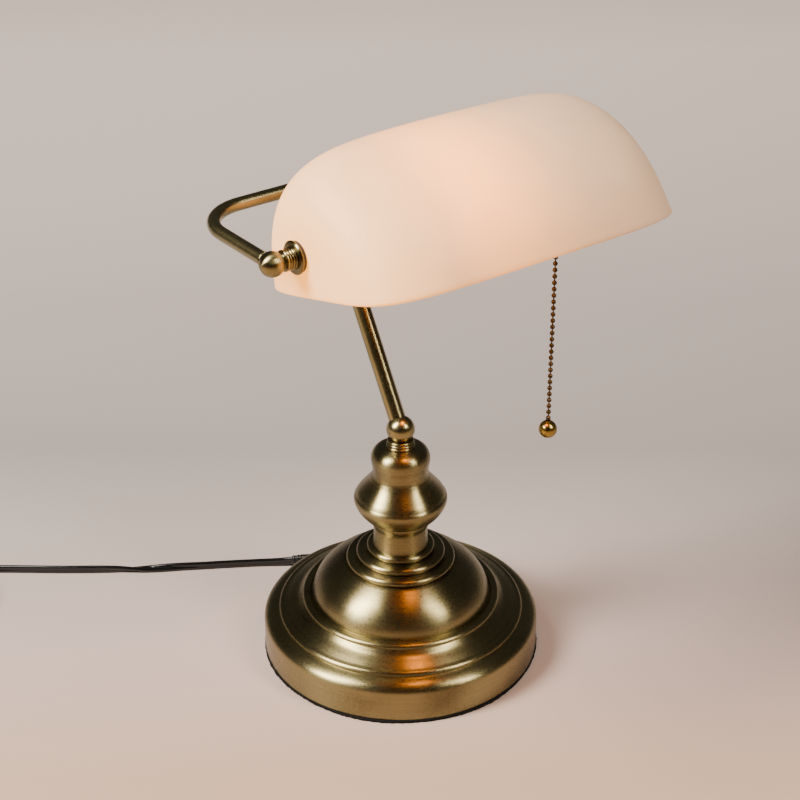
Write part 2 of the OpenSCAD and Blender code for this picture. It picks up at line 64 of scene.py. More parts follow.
# ------------------------------------------------------------------ camera
CAMERA_AZIMUTH = -36.8
CAMERA_ELEVATION = 28.9
CAMERA_DISTANCE = 1.1475
CAMERA_LENS = 80.8
AIM = Vector((-0.0011, -0.0008, 0.1876))


def around(azimuth, elevation, distance, centre=Vector((0, 0, 0))):
    """The point at that azimuth, elevation and distance from a centre; azimuth 0 is on the -Y side."""
    a, e = math.radians(azimuth), math.radians(elevation)
    way = Vector((math.sin(a) * math.cos(e), -math.cos(a) * math.cos(e), math.sin(e)))
    return centre + way * distance


def make_camera():
    data = bpy.data.cameras.new("camera")
    data.lens = CAMERA_LENS
    data.sensor_width = 36
    data.clip_start = 0.01
    camera = bpy.data.objects.new("camera", data)
    bpy.context.scene.collection.objects.link(camera)
    camera.location = around(CAMERA_AZIMUTH, CAMERA_ELEVATION, CAMERA_DISTANCE, AIM)
    camera.rotation_euler = (AIM - camera.location).to_track_quat("-Z", "Y").to_euler()
    bpy.context.scene.camera = camera


make_camera()

# --------------------------------------------------------------- materials
Z_AXIS = Vector((0, 0, 1))


class Material:
    """A material with short ways to add its shader nodes."""

    def __init__(self, name):
        self.material = bpy.data.materials.new(name)
        self.material.use_nodes = True
        self.tree = self.material.node_tree
        self.shader = self.tree.nodes["Principled BSDF"]

    def node(self, kind, **values):
        n = self.tree.nodes.new("ShaderNode" + kind)
        for key, value in values.items():
            if hasattr(n, key):
                setattr(n, key, value)
            else:
                n.inputs[key.replace("_", " ").title()].default_value = value
        return n

    def link(self, a, b):
        self.tree.links.new(a, b)

    def set(self, **values):
        for key, value in values.items():
            self.shader.inputs[key.replace("_", " ")].default_value = value

    def position(self):
        """The point on the piece, in millimetres."""
        place = self.node("TexCoord")
        scale = self.node("VectorMath", operation="SCALE")
        scale.inputs["Scale"].default_value = 1 / MM
        self.link(place.outputs["Object"], scale.inputs[0])
        return scale.outputs[0]

    def noise(self, where, scale, detail=3, roughness=0.5):
        n = self.node("TexNoise")
        n.inputs["Scale"].default_value = scale
        n.inputs["Detail"].default_value = detail
        n.inputs["Roughness"].default_value = roughness
        if where is not None:
            self.link(where, n.inputs["Vector"])
        return n.outputs["Fac"]

    def ramp(self, value, stops):
        r = self.node("ValToRGB")
        while len(r.color_ramp.elements) < len(stops):
            r.color_ramp.elements.new(0.5)
        for element, (place, colour) in zip(r.color_ramp.elements, stops):
            element.position = place
            element.color = tuple(colour) + (1,) * (4 - len(colour))
        self.link(value, r.inputs["Fac"])
        return r.outputs["Color"]

    def remap(self, value, low, high, to_low, to_high):
        m = self.node("MapRange")
        for i, v in enumerate((low, high, to_low, to_high)):
            m.inputs[i + 1].default_value = v
        self.link(value, m.inputs[0])
        return m.outputs[0]

    def maths(self, operation, a, b=None):
        m = self.node("Math", operation=operation)
        for i, v in enumerate((a, b)):
            if v is None:
                continue
            if isinstance(v, (int, float)):
                m.inputs[i].default_value = v
            else:
                self.link(v, m.inputs[i])
        return m.outputs[0]

    def mix(self, factor, a, b, blend="MIX"):
        m = self.node("Mix", data_type="RGBA", blend_type=blend)
        for i, v in ((0, factor), (6, a), (7, b)):
            if isinstance(v, (int, float)):
                m.inputs[i].default_value = v
            elif isinstance(v, tuple):
                m.inputs[i].default_value = v + (1,) * (4 - len(v))
            else:
                self.link(v, m.inputs[i])
        return m.outputs[2]

    def bump(self, height, strength, distance):
        b = self.node("Bump")
        b.inputs["Strength"].default_value = strength
        b.inputs["Distance"].default_value = distance * MM
        self.link(height, b.inputs["Height"])
        self.link(b.outputs[0], self.shader.inputs["Normal"])


def turned(m, where, centre=(0, 0, 0), axis="Z"):
    """A vector of distance from a turning axis and height along it, so that noise on it makes rings."""
    parts = m.node("SeparateXYZ")
    m.link(where, parts.inputs[0])
    names = "XYZ".replace(axis, "")
    squares = []
    for name in names:
        off = m.maths("SUBTRACT", parts.outputs[name], centre["XYZ".index(name)])
        squares.append(m.maths("MULTIPLY", off, off))
    radius = m.maths("SQRT", m.maths("ADD", squares[0], squares[1]))
    out = m.node("CombineXYZ")
    m.link(radius, out.inputs[0])
    m.link(parts.outputs[axis], out.inputs[2])
    return out.outputs[0]


# Antique brass where it is polished, in between and in its hollows
AGED_LIGHT = (0.29, 0.245, 0.120)
AGED_MID = (0.24, 0.205, 0.098)
AGED_DARK = (0.12, 0.092, 0.042)
# The least and greatest roughness of brushed and of plain brass
BRUSHED_ROUGH = (0.25, 0.31)
PLAIN_ROUGH = (0.22, 0.28)


def aged_brass(name, brushed=True, centre=(0, 0, 0), axis="Z"):
    """Antique brass: satin, brushed round its axis, browner where the polish has not reached."""
    m = Material(name)
    where = m.position()
    broad = m.noise(where, 0.02, 2, 0.5)
    fine = m.noise(where, 0.6, 5, 0.65)
    tone = m.maths("ADD", m.maths("MULTIPLY", broad, 0.8), m.maths("MULTIPLY", fine, 0.2))
    colour = m.ramp(tone, [(0.30, AGED_DARK), (0.46, AGED_MID), (0.62, AGED_LIGHT)])
    rough = m.remap(fine, 0.3, 0.7, *(BRUSHED_ROUGH if brushed else PLAIN_ROUGH))
    if brushed:
        rings = m.noise(turned(m, where, centre, axis), 2.6, 6, 0.8)
        streaks = m.noise(turned(m, where, centre, axis), 0.55, 3, 0.6)
        colour = m.mix(m.remap(rings, 0.42, 0.70, 0.0, 0.35), colour, AGED_DARK)
        colour = m.mix(m.remap(streaks, 0.45, 0.75, 0.0, 0.30), colour, AGED_DARK)
        rough = m.maths("ADD", rough, m.remap(rings, 0.3, 0.7, -0.03, 0.06))
        m.bump(rings, 0.10, 0.05)
        tangent = m.node("Tangent", direction_type="RADIAL", axis=axis)
        m.link(tangent.outputs[0], m.shader.inputs["Tangent"])
        m.set(Anisotropic=0.85, Anisotropic_Rotation=0.25)
    else:
        m.bump(fine, 0.03, 0.04)
    m.link(colour, m.shader.inputs["Base Color"])
    m.link(rough, m.shader.inputs["Roughness"])
    m.set(Metallic=1.0)
    return m.material


def plain_metal(name, light, dark, roughness, grain=0.6):
    """Metal without brushing, a little mottled."""
    m = Material(name)
    where = m.position()
    spots = m.noise(where, grain, 4, 0.6)
    m.link(m.ramp(spots, [(0.35, dark), (0.6, light)]), m.shader.inputs["Base Color"])
    m.link(m.remap(spots, 0.3, 0.7, roughness * 0.8, roughness * 1.3), m.shader.inputs["Roughness"])
    m.bump(spots, 0.05, 0.05)
    m.set(Metallic=1.0)
    return m.material


def moulded(name, light, dark, roughness, grain=1.5, bump=0.1, depth=0.1, shine=0.5):
    """Rubber, foam, cord sheath or moulded plastic with a fine grain."""
    m = Material(name)
    where = m.position()
    spots = m.noise(where, grain, 5, 0.6)
    m.link(m.ramp(spots, [(0.3, dark), (0.7, light)]), m.shader.inputs["Base Color"])
    m.link(m.remap(spots, 0.3, 0.7, roughness * 0.85, roughness * 1.15), m.shader.inputs["Roughness"])
    m.bump(spots, bump, depth)
    m.set(Specular_IOR_Level=shine)
    return m.material


# The painted glow outside: emission colours from its brightest place outwards
OUTSIDE_PAINTED_GLOW = [(0.0, (1.0, 0.27, 0.0)), (0.12, (0.90, 0.25, 0.0)), (0.24, (0.62, 0.17, 0.004)),
                (0.42, (0.30, 0.09, 0.005)), (0.6, (0.16, 0.05, 0.005)), (1.0, (0.06, 0.02, 0.004))]
OUTSIDE_STRENGTH = 4.2
# The brightest place of the painted glow on the glass, and how far it reaches
PAINTED_GLOW_AT = (-32, -88, 372)
GLOW_REACH = 130
# Painted light on the end nearer the bulb's tip: where it starts and is full, and its colour
END_SPAN = (-62, -112)
END_PAINTED_GLOW = (0.45, 0.16, 0.01)
# The painted glow inside, from the bulb outwards, and the two distances it runs between
INSIDE_PAINTED_GLOW = [(0.0, (1.0, 0.28, 0.02)), (0.5, (0.6, 0.17, 0.015)), (1.0, (0.3, 0.09, 0.01))]
INSIDE_STRENGTH = 0.3
INSIDE_SPAN = (35, 95)
# How much a distance along X, Y and Z counts, inside and outside
INSIDE_SQUEEZE = (0.62, 1.0, 1.0)
OUTSIDE_SQUEEZE = (1.0, 0.8, 0.8)
# The glass's colours, pale and deep; the inside is a darker, oranger copy of the outside's, which is painted
# shade
INSIDE_SHADED_MILK = ((0.16, 0.09, 0.04), (0.14, 0.08, 0.035))
OUTSIDE_MILK = ((0.50, 0.40, 0.30), (0.47, 0.37, 0.27))


def opal_glass(name, hot_spot, inside):
    """Opal glass with painted light: an emission glow painted round a hot spot, and inside an orange painted
    glow and a darker copy of the glass's colour as painted shade.
    """
    m = Material(name)
    where = m.position()
    away = m.node("VectorMath", operation="SUBTRACT")
    m.link(where, away.inputs[0])
    away.inputs[1].default_value = hot_spot
    flatten = m.node("VectorMath", operation="MULTIPLY")
    m.link(away.outputs[0], flatten.inputs[0])
    flatten.inputs[1].default_value = INSIDE_SQUEEZE if inside else OUTSIDE_SQUEEZE
    far = m.node("VectorMath", operation="LENGTH")
    m.link(flatten.outputs[0], far.inputs[0])
    distance = m.maths("ADD", far.outputs["Value"], m.remap(m.noise(where, 0.03, 2), 0, 1, -3, 3))
    # The emission colour is a painted glow, set by the distance from the hot spot
    if inside:
        glow = m.ramp(m.remap(distance, *INSIDE_SPAN, 0, 1), INSIDE_PAINTED_GLOW)
        m.set(Emission_Strength=INSIDE_STRENGTH)
    else:
        glow = m.ramp(m.remap(distance, 0, GLOW_REACH, 0, 1), OUTSIDE_PAINTED_GLOW)
        parts = m.node("SeparateXYZ")
        m.link(where, parts.inputs[0])
        glow = m.mix(m.remap(parts.outputs["X"], *END_SPAN, 0, 1), glow, END_PAINTED_GLOW, "ADD")
        m.set(Emission_Strength=OUTSIDE_STRENGTH)
    m.link(glow, m.shader.inputs["Emission Color"])
    milk = m.noise(where, 0.05, 3)
    # Inside, the glass takes its darker copy of the colour: painted shade
    pale, deep = INSIDE_SHADED_MILK if inside else OUTSIDE_MILK
    m.link(m.ramp(milk, [(0.3, deep), (0.7, pale)]), m.shader.inputs["Base Color"])
    m.link(m.remap(m.noise(where, 0.2, 3), 0.3, 0.7, 0.52, 0.60), m.shader.inputs["Roughness"])
    m.bump(m.noise(where, 0.12, 2), 0.06, 0.2)
    m.set(Coat_Weight=0.08, Coat_Roughness=0.5)
    return m.material


# ------------------------------------------------------------ mesh helpers
SMOOTH_ANGLE = math.radians(32)


def piece(name, verts, faces, material, body, stands_for=(), slot=None):
    """A mesh piece from points in millimetres, smooth except at its creases."""
    mesh = bpy.data.meshes.new(name)
    mesh.from_pydata([tuple(c * MM for c in v) for v in verts], [], faces)
    bm = bmesh.new()
    bm.from_mesh(mesh)
    bmesh.ops.remove_doubles(bm, verts=bm.verts, dist=1e-7)
    bmesh.ops.recalc_face_normals(bm, faces=bm.faces)
    bm.to_mesh(mesh)
    bm.free()
    mesh.polygons.foreach_set("use_smooth", [True] * len(mesh.polygons))
    mesh.set_sharp_from_angle(angle=SMOOTH_ANGLE)
    obj = bpy.data.objects.new(name, mesh)
    bpy.context.scene.collection.objects.link(obj)
    mesh.materials.append(material)
    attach(obj, body)
    if stands_for:
        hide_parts(*stands_for)
    return obj


def arc(centre, radius, start, end, steps, squash=1.0):
    """Points on an arc of distance and height, from one angle in degrees to another."""
    out = []
    for i in range(steps + 1):
        a = math.radians(start + (end - start) * i / steps)
        out.append((centre[0] + radius * math.cos(a), centre[1] + radius * squash * math.sin(a)))
    return out


def curve(points, steps=6):
    """A smooth curve through the points."""
    out = []
    for i in range(len(points) - 1):
        p0 = points[max(i - 1, 0)]
        p1, p2 = points[i], points[i + 1]
        p3 = points[min(i + 2, len(points) - 1)]
        for s in range(steps):
            t = s / steps
            out.append(tuple(
                0.5 * (2 * b + (c - a) * t + (2 * a - 5 * b + 4 * c - d) * t * t
                       + (3 * b - a - 3 * c + d) * t ** 3)
                for a, b, c, d in zip(p0, p1, p2, p3)))
    out.append(tuple(points[-1]))
    return out


def round_corner(before, corner, after, radius, steps=5):
    """An arc that softens a corner of an outline."""
    b, c, a = Vector(before), Vector(corner), Vector(after)
    u, v = (b - c).normalized(), (a - c).normalized()
    half = u.angle(v) / 2
    reach = min(radius / math.tan(half), (b - c).length * 0.49, (a - c).length * 0.49)
    start, end = c + u * reach, c + v * reach
    out = []
    for i in range(steps + 1):
        t = i / steps
        out.append(tuple(start * (1 - t) ** 2 + c * 2 * t * (1 - t) + end * t * t))
    return out


def softened(corners):
    """An outline from corners (distance, height, radius), each rounded by its radius."""
    out = []
    n = len(corners)
    for i, (r, z, soft) in enumerate(corners):
        if soft:
            out += round_corner(corners[i - 1][:2], (r, z), corners[(i + 1) % n][:2], soft)
        else:
            out.append((r, z))
    return out


def turn(outline, sides=192, place=lambda r, z, a: (r * math.cos(a), r * math.sin(a), z)):
    """Turns a closed outline of (distance, height) about an axis into points and faces."""
    verts, faces, rings = [], [], []
    for r, z in outline:
        if r < 1e-6:
            rings.append([len(verts)])
            verts.append(place(0, z, 0))
        else:
            rings.append(list(range(len(verts), len(verts) + sides)))
            verts += [place(r, z, TAU * i / sides) for i in range(sides)]
    for k, ring in enumerate(rings):
        other = rings[(k + 1) % len(rings)]
        if len(ring) == 1 and len(other) == 1:
            continue
        for i in range(sides):
            j = (i + 1) % sides
            quad = [ring[i % len(ring)], ring[j % len(ring)], other[j % len(other)], other[i % len(other)]]
            faces.append([v for n, v in enumerate(quad) if v not in quad[:n]])
    return verts, faces


def join(*shapes):
    """Several shapes as one list of points and one of faces."""
    verts, faces = [], []
    for v, f in shapes:
        base = len(verts)
        verts += v
        faces += [[i + base for i in face] for face in f]
    return verts, faces


def along(direction, centre):
    """Places a turned shape with its axis along the named direction through a centre."""
    cx, cy, cz = centre
    places = {
        "+X": lambda r, z, a: (cx + z, cy + r * math.cos(a), cz + r * math.sin(a)),
        "-X": lambda r, z, a: (cx - z, cy + r * math.cos(a), cz + r * math.sin(a)),
        "+Y": lambda r, z, a: (cx + r * math.cos(a), cy + z, cz + r * math.sin(a)),
        "-Y": lambda r, z, a: (cx + r * math.cos(a), cy - z, cz + r * math.sin(a)),
        "+Z": lambda r, z, a: (cx + r * math.cos(a), cy + r * math.sin(a), cz + z),
    }
    return places[direction]


def tube_faces(rings, n):
    """Faces of a tube of rings of n points each, with flat ends."""
    faces = []
    for i in range(rings - 1):
        for j in range(n):
            k = (j + 1) % n
            faces.append([i * n + j, i * n + k, (i + 1) * n + k, (i + 1) * n + j])
    faces.append(list(range(n))[::-1])
    faces.append([(rings - 1) * n + j for j in range(n)])
    return faces


def sweep(path, section, first_side=Vector((1, 0, 0))):
    """Sweeps section(i), a list of (side, up) offsets, along a path without twisting it."""
    pts = [Vector(p) for p in path]
    verts = []
    side = first_side
    for i, p in enumerate(pts):
        ahead = (pts[min(i + 1, len(pts) - 1)] - pts[max(i - 1, 0)]).normalized()
        side = (side - ahead * side.dot(ahead)).normalized()
        up = ahead.cross(side)
        verts += [tuple(p + side * s + up * u) for s, u in section(i)]
    return verts, tube_faces(len(pts), len(section(0)))


def circle(radius, sides):
    """A round section for sweep."""
    return [(radius * math.cos(TAU * i / sides), radius * math.sin(TAU * i / sides)) for i in range(sides)]


# --------------------------------------------------------- frame dimensions
BASE_R = mm_box("base_shell")[1][0]
PAD_TOP = mm_box("base_pad")[1][2]
RIM_TOP = 22
# Wall of the spun brass, and the hole through it for the rod
SHELL_T = 1.5
DOME_Z0, DOME_Z1 = (mm_box("base_dome")[i][2] for i in (0, 1))
HOLE_R = 5.2
PIVOT = tuple(c / MM for c in frame["joints"][0]["pos_m"])
YOKE_R = 4
ARM_X = mm_box("yoke_arm_right")[1][0] - YOKE_R
KNOB_R = 7.3

brass = aged_brass("aged_brass")
smooth_brass = aged_brass("aged_brass_smooth", brushed=False)
pivot_brass = aged_brass("aged_brass_pivot", centre=PIVOT, axis="X")

# -------------------------------------------------------------------- cord
# The route of the cord's middle from the base to its coil, then from the coil to the plug:
# x, y, z and roll in degrees
CORD_ROUTE = [
    (0, 96, 8, 90), (-0.5, 102, 8, 90), (-2.5, 107.5, 7.4, 90), (-6, 112.5, 6.2, 90),
    (-11, 117.5, 4.8, 90), (-18, 123, 3.6, 90), (-30, 131.5, 3, 90), (-42, 139, 3, 90),
    (-55, 147, 3, 90), (-66, 153.5, 3, 90), (-77, 160.5, 2.9, 78), (-88, 167.5, 2.5, 48),
    (-98, 174, 2.0, 14), (-108, 180.5, 2.3, -32), (-118, 187, 2.9, -70), (-130, 195.5, 3, -90),
    (-143, 205, 3, -90), (-157, 215.5, 3, -90), (-171, 226.5, 3, -90), (-186, 238, 3, -90),
    (-201, 249.3, 3.1, -90), (-212, 257.5, 3.4, -90), (-222.9, 265.7, 3.8, -90)]
TAIL_ROUTE = [
    (-293.6, 231, 9.6, -90), (-293.2, 221, 9.3, -90), (-291, 211, 8.6, -90),
    (-287.8, 202, 7.9, -90), (-285, 193, 7.6, -90), (-284, 186, 7.6, -90)]
CORD_WIDTH = 5.8
CORD_THICK = 3.0
# The coil: its middle, the angle where it starts, its radii, its turns on each layer and their heights
COIL_AT = (-250, 231)
COIL_START = 52
COIL_OUT = 44
COIL_IN = 25.4
COIL_OUT_ABOVE = 43.6
TURNS_DOWN = 3.2
TURNS_UP = 3.155
LAYER_LOW = 3.8
LAYER_HIGH = 9.6
POINTS_PER_TURN = 64


def smooth(t):
    """Eases from 0 to 1."""
    t = min(1, max(0, t))
    return t * t * (3 - 2 * t)


def coil_point(turns):
    """A point of the coil's middle line: inwards on the lower layer, then outwards on the upper one."""
    if turns < TURNS_DOWN:
        r = COIL_OUT + (COIL_IN - COIL_OUT) * turns / TURNS_DOWN
    else:
        r = COIL_IN + (COIL_OUT_ABOVE - COIL_IN) * (turns - TURNS_DOWN) / TURNS_UP
    z = LAYER_LOW + (LAYER_HIGH - LAYER_LOW) * smooth((turns - TURNS_DOWN + 0.25) / 0.5)
    a = math.radians(COIL_START + 360 * turns)
    return COIL_AT[0] + r * math.cos(a), COIL_AT[1] + r * math.sin(a), z, -90


def cord_path():
    """The whole cord's middle line, with its roll."""
    turns = TURNS_DOWN + TURNS_UP
    steps = int(turns * POINTS_PER_TURN)
    coil = [coil_point(turns * i / steps) for i in range(1, steps)]
    return curve(CORD_ROUTE, 4) + coil + curve(TAIL_ROUTE, 4)


def twin_section():
    """Half-width and half-thickness offsets round a flat twin cord with a groove on each face."""
    lobe = CORD_THICK / 2
    off = CORD_WIDTH / 2 - lobe
    right = [(off + lobe * math.cos(math.radians(a)), lobe * math.sin(math.radians(a)))
             for a in range(-135, 136, 30)]
    left = [(-x, -y) for x, y in right]
    return right + left


def rolled_sweep(path, section):
    """Sweeps section(i) along x, y, z, roll points; the offsets go along the width and the thickness."""
    verts = []
    for i, p in enumerate(path):
        a, b = path[max(i - 1, 0)], path[min(i + 1, len(path) - 1)]
        ahead = Vector([b[k] - a[k] for k in range(3)]).normalized()
        side = Vector((ahead.y, -ahead.x, 0)).normalized()
        up = side.cross(ahead)
        roll = math.radians(p[3])
        wide = side * math.cos(roll) + up * math.sin(roll)
        thin = up * math.cos(roll) - side * math.sin(roll)
        verts += [tuple(Vector(p[:3]) + wide * w + thin * t) for w, t in section(i)]
    return verts, tube_faces(len(path), len(section(0)))


black_pvc = moulded("black_cord", (0.006, 0.006, 0.0065), (0.003, 0.003, 0.003), 0.16, 0.8, 0.02, 0.03)
boot_rubber = moulded("boot_rubber", (0.01, 0.01, 0.01), (0.005, 0.005, 0.005), 0.35, 1.2, 0.05, 0.05, 0.25)
plug_plastic = moulded("plug_black", (0.022, 0.022, 0.024), (0.012, 0.012, 0.013), 0.35, 1.0, 0.12, 0.06)
foam = moulded("foam_pad", (0.012, 0.011, 0.010), (0.003, 0.003, 0.003), 0.95, 2.2, 0.6, 0.4, 0.15)
washer_rubber = moulded("black_washer", (0.03, 0.03, 0.03), (0.015, 0.015, 0.015), 0.6, 1.5, 0.15, 0.08)

path = cord_path()
twin = twin_section()
verts, faces = rolled_sweep(path, lambda i: twin)
cord = piece("mains_cord", verts, faces, black_pvc, "stand",
             ("cord_run", "cord_coil", "cord_tail"), "black_cord")

# The ribbed strain relief: an oval boot that tapers along the cord's first points
BOOT_PATH = curve([(0, 96.2, 8, 90)] + CORD_ROUTE[1:5], 12)
BOOT_SIDES = 32


def boot_section(i):
    t = i / (len(BOOT_PATH) - 1)
    rib = 0.35 * (1 if 0.12 < t < 0.9 and (t * 13) % 1 < 0.45 else 0)
    end = 0.75 + 0.25 * smooth((1 - t) / 0.06)
    w = (4.9 - 1.35 * t - rib) * end
    h = (4.6 - 2.2 * t - rib) * end
    return [(w * math.cos(TAU * k / BOOT_SIDES), h * math.sin(TAU * k / BOOT_SIDES))
            for k in range(BOOT_SIDES)]


verts, faces = rolled_sweep(BOOT_PATH, boot_section)
boot = piece("cord_boot_ribbed", verts, faces, boot_rubber, "stand", ("cord_boot",), "black_cord")

GLAND = softened([(3.2, -6, 0), (6, -6, 0.4), (6, -3, 0.4), (4.8, -3, 0), (4.8, 0.6, 0), (6.3, 0.6, 0),
                  (6.3, 2, 0.7), (5.2, 3, 0.5), (3.2, 3, 0)])
verts, faces = turn(GLAND, 64, along("+Y", (0, BASE_R, CORD_ROUTE[0][2])))
piece("gland_bush", verts, faces, boot_rubber, "stand", ("cord_gland",), "black_cord")


# The tie round the coil: a woven strap in a closed band, with its free end lying on top
TIE_ANGLE = math.radians(290)
TIE_WIDTH = 9
TIE_THICK = 0.7


def tie_loop(out):
    """The band's outline across the coil: distance from the coil's middle, and height."""
    low, high = 22 + TIE_THICK - out, 47.2 - TIE_THICK + out
    z0, z1 = TIE_THICK - out, 12.8 + out
    corners = [(low, z0), (high, z0), (high, z1), (low, z1)]
    return softened([(r, z, 2.4 + out) for r, z in corners])


def tie_place(r, along_arc, z):
    """A point of the tie from its distance, its place across the strap and its height."""
    c, s = math.cos(TIE_ANGLE), math.sin(TIE_ANGLE)
    return COIL_AT[0] + r * c - along_arc * s, COIL_AT[1] + r * s + along_arc * c, z


def band(outer, inner, half):
    """A closed band between two outlines with as many points as each other."""
    n = len(outer)
    verts = []
    for side in (-half, half):
        verts += [tie_place(r, side, z) for r, z in outer]
        verts += [tie_place(r, side, z) for r, z in inner]
    faces = []
    for i in range(n):
        j = (i + 1) % n
        faces += [[i, j, 2 * n + j, 2 * n + i], [n + i, 3 * n + i, 3 * n + j, n + j],
                  [i, n + i, n + j, j], [2 * n + i, 2 * n + j, 3 * n + j, 3 * n + i]]
    return verts, faces


def strap_weave(name):
    """Black woven strap: fine crossed threads."""
    m = Material(name)
    where = m.position()
    threads = []
    for axis in (0, 2):
        wave = m.node("TexWave", wave_type="BANDS")
        wave.bands_direction = "XYZ"[axis]
        wave.inputs["Scale"].default_value = 1.3
        wave.inputs["Distortion"].default_value = 1.0
        m.link(where, wave.inputs["Vector"])
        threads.append(wave.outputs["Fac"])
    weave = m.maths("MULTIPLY", threads[0], threads[1])
    m.link(m.ramp(weave, [(0.1, (0.008, 0.008, 0.008)), (0.8, (0.04, 0.04, 0.042))]),
           m.shader.inputs["Base Color"])
    m.bump(weave, 0.5, 0.2)
    m.set(Roughness=0.8)
    return m.material


strap = strap_weave("strap_weave")
loop = band(tie_loop(TIE_THICK), tie_loop(0), TIE_WIDTH / 2)
flap = band(softened([(29, 13.4, 0.3), (43, 13.4, 0.3), (43, 14.2, 0.3), (29, 14.2, 0.3)]),
            softened([(29.3, 13.6, 0.1), (42.7, 13.6, 0.1), (42.7, 14.0, 0.1), (29.3, 14.0, 0.1)]),
            TIE_WIDTH / 2 - 0.4)
tie = piece("coil_strap", *join(loop, flap), strap, "stand", ("cord_tie",), "black_cord")

# The plug: a waisted moulded grip with ribs and a tapered tail
PLUG_AT = (-284, 7.6)
PLUG_FRONT = 152
PLUG_SIDES = 64


def plug_ring(half_w, half_h, power):
    """A squarish oval section of the plug."""
    ring = []
    for i in range(PLUG_SIDES):
        c, s = math.cos(TAU * i / PLUG_SIDES), math.sin(TAU * i / PLUG_SIDES)
        reach = (abs(c) ** power + abs(s) ** power) ** (-1 / power)
        ring.append((half_w * reach * c, half_h * reach * s))
    return ring


# Along the plug from its face: distance, half width, half height and squareness
PLUG_STATIONS = [(0, 10.2, 5.7, 3.2), (0.4, 11.2, 6.6, 3.2), (1.4, 11.8, 7.1, 3.2), (5, 12, 7.2, 3.2),
                 (9, 11.6, 6.9, 3.0), (14, 10.4, 6.3, 2.8), (20, 9.6, 6.0, 2.7), (24, 8.8, 5.8, 2.5),
                 (27, 7.2, 5.4, 2.3), (29, 5.6, 4.9, 2.1), (34, 4.7, 4.2, 2), (41, 3.8, 3.7, 2),
                 (42, 3.3, 3.2, 2)]


def plug_body():
    fine = curve(PLUG_STATIONS, 5)
    verts = []
    for y, w, h, power in fine:
        rib = 0.45 if 11 < y < 25 and (y / 2.2) % 1 < 0.4 else 0
        rib = 0.4 if 30 < y < 41 and (y / 2.4) % 1 < 0.4 else rib
        for a, b in plug_ring(w - rib, h - rib, power):
            verts.append((PLUG_AT[0] + a, PLUG_FRONT + y, PLUG_AT[1] + b))
    return verts, tube_faces(len(fine), PLUG_SIDES)


plug = piece("plug_moulded", *plug_body(), plug_plastic, "stand", ("plug_body",), "plug_black")

# ------------------------------------------------------------ base, column
# How many sides a turned piece has, unless it says otherwise
ROUND_SIDES = 192


def shell(outer, wall, hole):
    """The outline of a spun cup: the outer outline from the bottom up, a pierced top, and an inner wall."""
    top = outer[-1][1]
    inner = [(r - wall, z) for r, z in reversed(outer) if z < top - wall]
    return outer + [(hole, top), (hole, top - wall)] + inner


def lathe(name, outline, node, material=brass, body="stand", slot="aged_brass", place=None, sides=ROUND_SIDES):
    """A turned piece in the place of a CAD node."""
    verts, faces = turn(outline, sides, place) if place else turn(outline, sides)
    return piece(name, verts, faces, material, body, (node,), slot)


def ring_disc(r, z0, z1, hole=HOLE_R):
    """A ring with a half-round edge."""
    e = (z1 - z0) / 2
    return [(hole, z0), (r - e * 1.15, z0)] + arc((r - e, z0 + e), e, -85, 85, 14) \
        + [(r - e * 1.15, z1), (hole, z1)]


# The foam pad, whose cut edge wanders a little
PAD_SIDES = 480
rng = random.Random(11)
verts, faces = turn([(0, 0), (BASE_R + 0.2, 0), (BASE_R + 0.45, 0.5), (BASE_R + 0.45, 1.5),
                     (BASE_R + 0.1, PAD_TOP), (0, PAD_TOP)], PAD_SIDES)
wobble = [rng.uniform(-0.25, 0.35) for _ in range(PAD_SIDES)]
ragged = []
for index, (x, y, z) in enumerate(verts):
    r = math.hypot(x, y)
    if r > BASE_R - 1:
        grow = (r + wobble[index % PAD_SIDES] + 0.2 * math.sin(7 * math.atan2(y, x))) / r
        x, y = x * grow, y * grow
    ragged.append((x, y, z))
piece("foam_disc", ragged, faces, foam, "stand", ("base_pad",), "foam_pad")

base_outer = [(BASE_R - 0.5, PAD_TOP), (BASE_R - 0.1, PAD_TOP + 0.5), (BASE_R, PAD_TOP + 1.2)] \
    + arc((BASE_R - 9.4, RIM_TOP), 9.4, 0, 84, 16, 0.7) \
    + arc((BASE_R - 12.7, RIM_TOP + 7.4), 2.6, -10, 90, 12) \
    + curve([(79.0, 32.05), (75, 33.7), (70, 35.6), (67.2, 37.8), (66.4, 38.6)], 6)[1:] \
    + arc((64.2, 39), 2.3, 0, 90, 12) \
    + curve([(64.0, 41.32), (61.6, 41.2), (60.4, DOME_Z0)], 4)[1:]
base_inner = [(51, DOME_Z0), (51, DOME_Z0 - 1.5), (62, DOME_Z0 - 2.9), (68, 34.6), (76, 31.4),
              (BASE_R - 12, 26.6), (BASE_R - 4, 23.5), (BASE_R - 1.5, 21), (BASE_R - 1.5, PAD_TOP)]
lathe("base_rim", base_outer + base_inner, "base_shell", sides=256)

dome_outer = arc((0, DOME_Z0), 59.5, 0, 50, 32, 32.6 / 59.5) + [(37, DOME_Z1)]
lathe("dome", shell(dome_outer, SHELL_T, HOLE_R), "base_dome", sides=256)

COLLAR_Z = [mm_box("collar_large")[0][2], mm_box("collar_medium")[0][2], mm_box("collar_small")[0][2],
            mm_box("column_neck")[0][2]]
for i, (name, r) in enumerate((("large", 36.4), ("medium", 29.7), ("small", 22.6))):
    lathe("collar_step_" + name, ring_disc(r, COLLAR_Z[i], COLLAR_Z[i + 1]), "collar_" + name)

